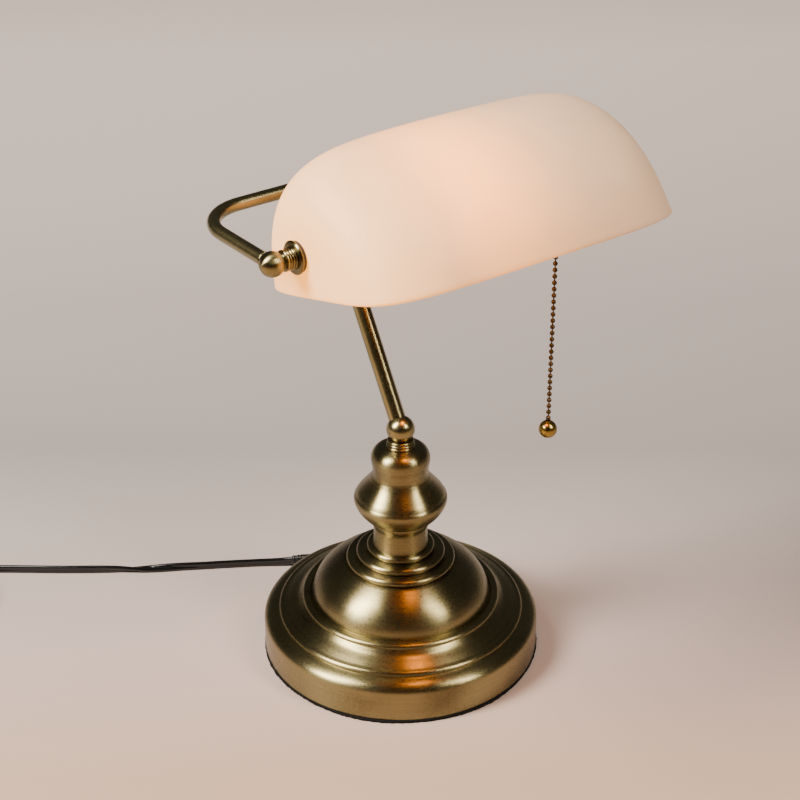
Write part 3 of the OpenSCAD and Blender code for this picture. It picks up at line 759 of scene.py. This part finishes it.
NECK_TOP, VASE_TOP, CAP_TOP = (mm_box(n)[1][2] for n in ("column_neck", "column_vase", "column_cap"))
neck_outer = curve([(18.7, COLLAR_Z[3]), (18.2, 82), (17.9, 88), (18.15, 93.2), (19.0, 95.2), (19.9, 97.2),
                    (20.2, 98.8), (19.9, 99.7), (19.4, NECK_TOP)], 6)
lathe("neck", shell(neck_outer, SHELL_T, HOLE_R), "column_neck")
vase_outer = [(21.4, NECK_TOP), (21.9, NECK_TOP + 0.15), (22.2, NECK_TOP + 0.5)] \
    + curve([(22.4, 100.8), (24.8, 102.8), (28.4, 107.4), (30.2, 111), (30.8, 113.2)], 6)[:-1] \
    + arc((26.6, 114.4), 4.3, -14, 40, 12) \
    + curve([(29.8, 117.2), (28.4, 119.6), (26.3, 122.2), (22.9, 126.2), (20.6, 129.2),
             (19.0, VASE_TOP)], 5)[1:]
lathe("vase", shell(vase_outer, SHELL_T, HOLE_R), "column_vase")
cap_outer = curve([(18.95, VASE_TOP), (18.35, 134.6), (18.6, 138.6), (19.2, 142), (19.4, 143.6)], 6)[:-1] \
    + arc((12.2, 144.6), 7.2, -4, 70, 20, 1.08) + curve([(14.0, 152.1), (12, 152.5), (9.4, CAP_TOP)], 4)
lathe("cap", shell(cap_outer, SHELL_T, HOLE_R), "column_cap")

RINGS_TOP = mm_box("neck_rings")[1][2]
ring_h = (RINGS_TOP - CAP_TOP) / 3
ring_shapes = [turn(ring_disc(9.4 - 0.35 * i, CAP_TOP + i * ring_h, CAP_TOP + (i + 1) * ring_h), 96)
               for i in range(3)]
piece("neck_bead_rings", *join(*ring_shapes), brass, "stand", ("neck_rings",), "aged_brass")

BALL_Z, BALL_R = 165.5, 9.3
foot = math.degrees(math.asin((RINGS_TOP - BALL_Z) / BALL_R))
ball = arc((0, BALL_Z), BALL_R, foot, 90, 40)
ball[-1] = (0, BALL_Z + BALL_R)
lathe("ball", [(0, RINGS_TOP)] + ball, "stem_ball", smooth_brass, sides=96)

# ------------------------------------------------------------- stem, yoke
LEAN = math.radians(30.4)
STEM_R = 5.6
STEM_BEND = 50
YOKE_BEND = 31
HUB = Vector((0, mm_box("yoke_arm_right")[1][1] - YOKE_R, PIVOT[2]))
CORNER_Z = BALL_Z + (HUB.z - BALL_Z) / 2 + HUB.y / (2 * math.tan(LEAN))
CORNER_Y = (CORNER_Z - BALL_Z) * math.tan(LEAN)
BEND_MID = Vector((0, CORNER_Y - STEM_BEND / math.cos(LEAN), CORNER_Z))


def stem_path():
    """The middle of the stem: it leans back from the ball, bends and comes up to the hub."""
    up = Vector((0, math.sin(LEAN), math.cos(LEAN)))
    back = Vector((0, math.sin(LEAN), -math.cos(LEAN)))
    foot_at = Vector((0, 0, BALL_Z)) + up * 4
    pts = [foot_at + up * d for d in (0, 2)]
    for i in range(25):
        a = -LEAN + 2 * LEAN * i / 24
        pts.append(BEND_MID + Vector((0, STEM_BEND * math.cos(a), STEM_BEND * math.sin(a))))
    return pts + [HUB + back * d for d in (7, 5)]


piece("stem", *sweep(stem_path(), lambda i: circle(STEM_R, 64)), smooth_brass, "stand", ("stem_tube",),
      "aged_brass")


def collar_on(centre, direction, start, length, radius, hole):
    """A half-round collar on a leaning tube, as points and faces."""
    outline = ring_disc(radius, 0, length, hole)
    verts, faces = turn(outline, 64)
    spin = Z_AXIS.rotation_difference(direction).to_matrix()
    return [tuple(spin @ Vector(v) + centre + direction * start) for v in verts], faces


# The hub, with a collar where the stem and each arm meet it
hub_ball = turn(arc((0, 0), 8, -90, 90, 32), 96, lambda r, z, a: (
    HUB.x + z, HUB.y + r * math.cos(a), HUB.z + r * math.sin(a)))
down = Vector((0, math.sin(LEAN), -math.cos(LEAN)))
hub_parts = [hub_ball, collar_on(HUB, down, 6.4, 1.6, 6.5, 5.5)]
for side in (-1, 1):
    hub_parts.append(collar_on(HUB, Vector((side, 0, 0)), 6.6, 1.5, 4.8, 3.9))
piece("hub_ball", *join(*hub_parts), smooth_brass, "stand", ("yoke_hub",), "aged_brass")


def arm_path(side):
    """The middle of one yoke arm, from the hub round its bend to its knob."""
    pts = [Vector((3.2, HUB.y, HUB.z)), Vector((60, HUB.y, HUB.z))]
    mid = Vector((ARM_X - YOKE_BEND, HUB.y - YOKE_BEND, HUB.z))
    for i in range(17):
        a = math.radians(90 - 90 * i / 16)
        pts.append(mid + Vector((YOKE_BEND * math.cos(a), YOKE_BEND * math.sin(a), 0)))
    pts.append(Vector((ARM_X, PIVOT[1] + 6, HUB.z)))
    return [(side * p.x, p.y, p.z) for p in pts]


for side, name, inward in ((-1, "left", "+X"), (1, "right", "-X")):
    piece("yoke_" + name, *sweep(arm_path(side), lambda i: circle(YOKE_R, 48), Z_AXIS), smooth_brass, "stand",
          ("yoke_arm_" + name,), "aged_brass")
    centre = (side * ARM_X, PIVOT[1], PIVOT[2])
    ball = [(r, -z) for r, z in arc((0, 0), KNOB_R, 90, -56, 40)]
    ball[0] = (0, -KNOB_R)
    outline = ball + [(4.4, 6.4), (5.9, 6.7), (6.2, 7.0), (6.2, 7.8), (5.9, 8), (0, 8)]
    knob = turn(outline, 96, along(inward, centre))
    collar = turn(ring_disc(4.9, 5.9, 7.45, 3.9), 64, along("+Y", centre))
    piece("knob_ball_" + name, *join(knob, collar), pivot_brass, "stand", ("knob_" + name,), "aged_brass")

# -------------------------------------------------------------- glass shade
# Half length, half width and height of the glass, and its wall
SHADE_A, SHADE_B, SHADE_H, GLASS_T = 112.5, 67.4, 77.9, 3.5
SHADE_TILT = math.radians(-15.2)
# The pivot's place in the glass: behind the middle and above the rim
SHADE_PIVOT = (10, 24)
# Squareness of the rim, the ridge, the ends and the sides, and how far back the ridge lies
RIM_POWER, RIDGE_POWER, END_POWER, SIDE_POWER, RIDGE_SHIFT = 5.09, 1.80, 4.91, 2.15, 11
SHADE_SIDES = 256
SHADE_STEPS = [1.2 + 87 * (i / 56) for i in range(57)] + [88.7, 89.1, 89.4, 89.65, 89.85]


def shade_ring(phi, a, b, h, lift=None):
    """One level of the shade: a squarish oval that rounds off towards the ridge."""
    t = math.sin(math.radians(phi)) ** (2 / SIDE_POWER)
    power = RIM_POWER + (RIDGE_POWER - RIM_POWER) * t
    ra = a * (1 - t ** END_POWER) ** (1 / END_POWER)
    rb = b * math.cos(math.radians(phi)) ** (2 / SIDE_POWER)
    ring = []
    for i in range(SHADE_SIDES):
        c, s = math.cos(TAU * i / SHADE_SIDES), math.sin(TAU * i / SHADE_SIDES)
        reach = (abs(c) ** power + abs(s) ** power) ** (-1 / power)
        ring.append((ra * reach * c, rb * reach * s + RIDGE_SHIFT * t, h * t if lift is None else lift))
    return ring


def on_shade(p):
    """A point of the upright glass, tilted and set on the pivot."""
    x, y, z = p[0], p[1] - SHADE_PIVOT[0], p[2] - SHADE_PIVOT[1]
    c, s = math.cos(SHADE_TILT), math.sin(SHADE_TILT)
    return x, PIVOT[1] + y * c - z * s, PIVOT[2] + y * s + z * c


def skin(a, b, h):
    """The rings of one side of the glass that lie above its lip."""
    return [shade_ring(phi, a, b, h) for phi in SHADE_STEPS if h * math.sin(math.radians(phi)) > 1.9]


def shade_mesh():
    """The glass as points and faces, and the number of rings before its inner side."""
    outer, inner = (skin(SHADE_A - t, SHADE_B - t, SHADE_H - t) for t in (0, GLASS_T))
    lip = []
    for i in range(13):
        b = math.pi * i / 12
        less = GLASS_T * (1 - math.cos(b)) / 2
        lip.append(shade_ring(0, SHADE_A - less, SHADE_B - less, 1, 1.75 * (1 - math.sin(b))))
    rings = outer[::-1] + lip + inner
    verts = [on_shade(p) for ring in rings for p in ring]
    top = len(verts)
    verts += [on_shade((0, RIDGE_SHIFT, SHADE_H)), on_shade((0, RIDGE_SHIFT, SHADE_H - GLASS_T))]
    n = SHADE_SIDES
    faces = []
    for r in range(len(rings) - 1):
        for i in range(n):
            j = (i + 1) % n
            faces.append([r * n + i, r * n + j, (r + 1) * n + j, (r + 1) * n + i])
    last = (len(rings) - 1) * n
    for i in range(n):
        j = (i + 1) % n
        faces += [[top, j, i], [top + 1, last + i, last + j]]
    return verts, faces, len(outer) + 6


BULB_MID = (20, PIVOT[1], PIVOT[2])
# The outside glass gets a painted glow round its brightest place, the inside a painted glow round the bulb
opal = opal_glass("opal_glass", PAINTED_GLOW_AT, False)
opal_inside = opal_glass("opal_glass_inside", BULB_MID, True)
verts, faces, outer_rings = shade_mesh()
shade = piece("opal_shade", verts, faces, opal, "shade_head", ("glass_shade",), "opal_glass")
shade.data.materials.append(opal_inside)
inside_from = outer_rings * SHADE_SIDES
for polygon in shade.data.polygons:
    if min(polygon.vertices) >= inside_from and max(polygon.vertices) != len(shade.data.vertices) - 2:
        polygon.material_index = 1

# ------------------------------------------------------------ pivot, socket
lamp_brass = aged_brass("lamp_brass", centre=PIVOT, axis="X")
steel = plain_metal("steel_plated", (0.55, 0.55, 0.53), (0.38, 0.38, 0.37), 0.32, 0.8)
NECK_IN = mm_box("flange_right")[1][0]
PIVOT_AXIS = (0, PIVOT[1], PIVOT[2])
for name, outward, hole in (("left", "-X", 3.1), ("right", "+X", 5.1)):
    disc = softened([(hole, 114.6, 0), (9.8, 114.6, 0.3), (9.8, 115.4, 0.4), (9.0, 116.2, 0.4),
                     (hole, 116.2, 0)])
    shapes = [turn(disc, 96, along(outward, PIVOT_AXIS))]
    ring_w = (NECK_IN - 116.2) / 3
    for i in range(3):
        shapes.append(turn(ring_disc(6.6 - 0.3 * i, 116.2 + i * ring_w, 116.2 + (i + 1) * ring_w, hole), 96,
                           along(outward, PIVOT_AXIS)))
    piece("pivot_flange_" + name, *join(*shapes), pivot_brass, "shade_head", ("flange_" + name,),
          "aged_brass")

SOCKET_R = 17
knurl = [(SOCKET_R + 0.16 * math.cos(i * math.pi / 2) ** 2, 58 + i * 0.5) for i in range(25)]
shell_outline = [(16.2, 44), (16.6, 43.3)] + arc((17.2, 44), 0.8, -90, 80, 10) \
    + [(17.1, 45.2), (SOCKET_R, 46)] + knurl + [(SOCKET_R, 71), (SOCKET_R, 88.5), (16.2, 88.5)]
lathe("socket_barrel", shell_outline, "socket_shell", lamp_brass, "shade_head", "lamp_brass",
      along("+X", PIVOT_AXIS), 128)
cap_outline = [(17.6, 88.5), (17.6, 91.5)] + arc((8, 91.5), 9.4, 0, 80, 24, 0.82) \
    + [(8, 101.5), (5.1, 101.5), (5.1, 100.7), (8, 100.7)] \
    + [(r - 0.8, z) for r, z in arc((8, 91.5), 9.2, 80, 0, 24, 0.82)] + [(16.8, 88.5)]
lathe("socket_cover", cap_outline, "socket_cap", lamp_brass, "shade_head", "lamp_brass",
      along("+X", PIVOT_AXIS), 128)

# The bulb: a screw cap with rolled threads, and a frosted globe
thread = [(13.1 - 0.45 * (0.5 - 0.5 * math.cos(TAU * i / 8)), 44 + i * 14.4 / 32) for i in range(33)]
cap_line = [(12.2, 43)] + thread + [(13.0, 60.5), (10.5, 62.6), (7, 64.4), (4.6, 66.3), (0, 66.3),
                                    (0, 60), (12, 56)]
lathe("bulb_screw_cap", cap_line, "bulb_cap", steel, "shade_head", "steel_plated",
      along("+X", PIVOT_AXIS), 96)


BULB_STRENGTH = 26.0


def bulb_glass(name):
    """Frosted glass that shines."""
    m = Material(name)
    where = m.position()
    grain = m.noise(where, 0.15, 3)
    m.link(m.ramp(grain, [(0.3, (1.0, 0.30, 0.02)), (0.7, (1.0, 0.34, 0.03))]),
           m.shader.inputs["Emission Color"])
    m.link(m.ramp(grain, [(0.3, (0.85, 0.82, 0.78)), (0.7, (0.9, 0.87, 0.83))]),
           m.shader.inputs["Base Color"])
    m.bump(grain, 0.05, 0.1)
    m.set(Emission_Strength=BULB_STRENGTH, Roughness=0.35)
    return m.material


globe = [(0, 54), (12.2, 54)] + curve([(12.2, 46), (12.8, 42), (14.8, 36.5), (18.0, 30.6), (21.6, 24.8)], 6) \
    + arc((0, 8.6), 27, 35, -90, 40)
globe[-1] = (0, -18.4)
lathe("bulb_glass_globe", globe, "bulb_globe", bulb_glass("bulb_frosted"), "shade_head", "bulb_glass",
      along("+X", PIVOT_AXIS), 96)

# --------------------------------------------------------------- pull chain
# The chain's place along the shade, and the heights of the stem's eye and of the chain's top
CHAIN_X, EYE_Z, CHAIN_Z = 76, 311, 306.4
BEAD_R, BEAD_STEP, BEADS = 1.6, 4.35, 31
bronze = plain_metal("chain_bronze", (0.11, 0.075, 0.038), (0.045, 0.03, 0.014), 0.30, 1.4)
bright_brass = plain_metal("pull_brass", (0.36, 0.26, 0.07), (0.25, 0.17, 0.04), 0.24, 0.5)
guide_brass = plain_metal("guide_brass", (0.60, 0.47, 0.25), (0.42, 0.31, 0.15), 0.28, 0.6)
GUIDE_Z = PIVOT[2] - SOCKET_R


def at_chain(z):
    """Places a turned shape upright on the chain's line."""
    return along("+Z", (CHAIN_X, PIVOT[1], z))


bell = [(1.95, -5.6), (4.1, -5.65), (4.3, -5.3), (3.9, -3.8), (3.2, -1.4), (3.1, 1), (3.1, 3), (2, 3), (2, 0)]
piece("chain_bell_guide", *turn(curve(bell, 4)[:-1], 64, at_chain(GUIDE_Z)), guide_brass, "shade_head", (),
      "lamp_brass")

stem_shape = turn(softened([(0, 1.4, 0), (1.2, 1.4, 0.3), (1.5, 2.6, 0.3), (1.5, 22, 0), (3.4, 22, 0.3),
                            (3.4, 23.2, 0.3), (0, 23.2, 0)]), 48, at_chain(EYE_Z))


def torus(centre, axis, big, small, sides=40, around_it=16):
    """A ring of wire."""
    outline = [(big + small * math.cos(TAU * i / around_it), small * math.sin(TAU * i / around_it))
               for i in range(around_it)]
    return turn(outline, sides, along(axis, centre))


lug = torus((CHAIN_X, PIVOT[1], EYE_Z), "+X", 1.7, 0.55)
piece("switch_stem_eye", *join(stem_shape, lug), guide_brass, "switch_stem", ("pull_stem",), "lamp_brass")
piece("chain_link_ring", *torus((CHAIN_X, PIVOT[1], EYE_Z - 1.9), "+Y", 2.3, 0.4), bronze, "eye_ring",
      ("chain_eye",), "chain_bronze")

bead_line = [(0, -BEAD_R)] + arc((0, 0), BEAD_R, -75, -6, 8) + [(BEAD_R * 0.965, 0)] \
    + arc((0, 0), BEAD_R, 6, 75, 8) + [(0, BEAD_R)]
bead_middles = [CHAIN_Z - 2 - i * BEAD_STEP for i in range(BEADS)]
parts = [torus((CHAIN_X, PIVOT[1], EYE_Z - 4.2), "+X", 1.25, 0.45, 32, 12),
         turn([(0, -1.9), (0.6, -1.9), (0.6, 0), (0, 0)], 16, at_chain(EYE_Z - 5.2))]
for z in bead_middles:
    parts.append(turn(bead_line, 28, at_chain(z)))
for z in bead_middles[:-1]:
    parts.append(turn([(0, -BEAD_STEP + 1.2), (0.45, -BEAD_STEP + 1.2), (0.45, -1.2), (0, -1.2)], 12,
                      at_chain(z)))
piece("bead_chain", *join(*parts), bronze, "chain", ("pull_chain",), "chain_bronze")

PULL_R = 6
PULL_Z = bead_middles[-1] - BEAD_R - 0.6 - PULL_R
pull_line = [(0, -PULL_R)] + arc((0, 0), PULL_R, -86, -2, 24) + [(PULL_R - 0.06, 0)] \
    + arc((0, 0), PULL_R, 2, 72, 20) + [(1.9, 5.8), (1.9, 6.3), (1.4, 6.5), (0, 6.5)]
piece("pull_ball_gold", *turn(pull_line, 96, at_chain(PULL_Z)), bright_brass, "chain", ("pull_ball",),
      "pull_brass")

# --------------------------------------------- CAD nodes that keep their mesh
cast = moulded("cast_weight", (0.10, 0.10, 0.10), (0.05, 0.05, 0.05), 0.6, 0.8, 0.5, 0.4)
card = moulded("liner_card", (0.55, 0.43, 0.28), (0.42, 0.32, 0.20), 0.8, 0.9, 0.2, 0.1)
block = moulded("switch_block", (0.80, 0.77, 0.68), (0.72, 0.68, 0.58), 0.25, 0.3, 0.05, 0.05)
blade_brass = plain_metal("blade_brass", (0.80, 0.66, 0.40), (0.68, 0.54, 0.30), 0.25, 0.5)
KEPT = {
    "bottom_plate": steel, "base_weight": cast, "spacer_tube": steel, "center_rod": steel,
    "rod_washer": steel, "rod_nut": steel, "inner_lead": black_pvc, "outer_washers": washer_rubber,
    "inner_washers": washer_rubber, "steel_washers": steel, "pivot_screw": steel, "pivot_nut": steel,
    "hollow_nipple": steel, "nipple_nut": steel, "socket_liner": card, "screw_sleeve": lamp_brass,
    "center_contact": guide_brass, "pull_switch": block, "plug_pins": blade_brass}
for name, material in KEPT.items():
    for material_slot in nodes[name].material_slots:
        material_slot.material = material

# ----------------------------------------------------------- floor, lights
# The floor paper's warm grey with painted light and shade on it, from near the camera to far behind the lamp
FLOOR_PAINTED_LIGHT = [(0.0, (0.46, 0.31, 0.22)), (0.15, (0.46, 0.32, 0.24)), (0.215, (0.47, 0.37, 0.35)),
               (0.28, (0.41, 0.355, 0.34)), (0.345, (0.30, 0.268, 0.262)), (0.48, (0.43, 0.37, 0.36)),
               (0.85, (0.95, 0.80, 0.75)), (1.0, (0.97, 0.82, 0.75))]


def floor_material():
    """Warm grey paper with painted light and shade: darkest a little behind the lamp and palest far behind it.
    """
    m = Material("floor_paper")
    where = m.node("TexCoord")
    turned_to = m.node("Mapping")
    turned_to.inputs["Rotation"].default_value = (0, 0, math.radians(-CAMERA_AZIMUTH))
    m.link(where.outputs["Object"], turned_to.inputs["Vector"])
    parts = m.node("SeparateXYZ")
    m.link(turned_to.outputs[0], parts.inputs[0])
    # The painted light and shade run along the camera's direction, darkest a little behind the lamp
    painted_light_along = m.remap(parts.outputs["Y"], -0.45, 1.6, 0, 1)
    colour = m.ramp(painted_light_along, FLOOR_PAINTED_LIGHT)
    grain = m.noise(where.outputs["Object"], 900, 3)
    colour = m.mix(m.remap(grain, 0.3, 0.7, 0.0, 0.03), colour, (0.4, 0.38, 0.36))
    m.link(colour, m.shader.inputs["Base Color"])
    m.bump(grain, 0.03, 0.05)
    m.set(Roughness=0.7)
    return m.material


# Half the floor's width, and its height just under the pad
FLOOR_HALF = 8
FLOOR_Z = -0.0002


def make_floor():
    """The sheet of paper that the lamp stands on."""
    mesh = bpy.data.meshes.new("floor")
    corners = ((-FLOOR_HALF, -FLOOR_HALF), (FLOOR_HALF, -FLOOR_HALF), (FLOOR_HALF, FLOOR_HALF),
               (-FLOOR_HALF, FLOOR_HALF))
    mesh.from_pydata([(x, y, FLOOR_Z) for x, y in corners], [], [(0, 1, 2, 3)])
    floor = bpy.data.objects.new("floor", mesh)
    bpy.context.scene.collection.objects.link(floor)
    mesh.materials.append(floor_material())


def softbox(name, azimuth, elevation, distance, size, power, colour, aim=Vector((0, 0, 0.15))):
    """An oblong area light that faces the lamp."""
    data = bpy.data.lights.new(name, "AREA")
    data.shape = "RECTANGLE"
    data.size, data.size_y = size
    data.energy = power
    data.color = colour
    light = bpy.data.objects.new(name, data)
    bpy.context.scene.collection.objects.link(light)
    light.location = around(azimuth, elevation, distance, aim)
    light.rotation_euler = (aim - light.location).to_track_quat("-Z", "Y").to_euler()


def far_sun(name, azimuth, elevation, strength, colour):
    """A wide soft sun, so that the far floor is as bright as the near one."""
    data = bpy.data.lights.new(name, "SUN")
    data.angle = math.radians(24)
    data.energy = strength
    data.color = colour
    light = bpy.data.objects.new(name, data)
    bpy.context.scene.collection.objects.link(light)
    light.rotation_euler = (-around(azimuth, elevation, 1)).to_track_quat("-Z", "Y").to_euler()


# The world's strength on the camera's side and behind the lamp
STUDIO_DARK = 0.02
STUDIO_PALE = 0.08


def make_world():
    """A studio that is pale behind the lamp and dark on the camera's side."""
    world = bpy.data.worlds.new("studio")
    world.use_nodes = True
    tree = world.node_tree
    way = tree.nodes.new("ShaderNodeTexCoord")
    towards = tree.nodes.new("ShaderNodeVectorMath")
    towards.operation = "DOT_PRODUCT"
    towards.inputs[1].default_value = around(CAMERA_AZIMUTH + 180, 0, 1)
    fade = tree.nodes.new("ShaderNodeMapRange")
    for i, v in enumerate((-0.6, 0.9, STUDIO_DARK, STUDIO_PALE)):
        fade.inputs[i + 1].default_value = v
    tree.links.new(way.outputs["Generated"], towards.inputs[0])
    tree.links.new(towards.outputs["Value"], fade.inputs[0])
    back = tree.nodes["Background"]
    back.inputs["Color"].default_value = (1.0, 0.97, 0.93, 1)
    tree.links.new(fade.outputs[0], back.inputs["Strength"])
    bpy.context.scene.world = world


make_floor()
softbox("softbox_left", CAMERA_AZIMUTH - 68, 47, 1.6, (0.42, 1.1), 60, (1.0, 0.92, 0.80))
softbox("softbox_right", CAMERA_AZIMUTH + 59, 45, 1.7, (0.38, 1.0), 26, (1.0, 0.91, 0.78))
far_sun("far_light", CAMERA_AZIMUTH - 66, 40, 2.0, (1.0, 0.95, 0.88))
make_world()
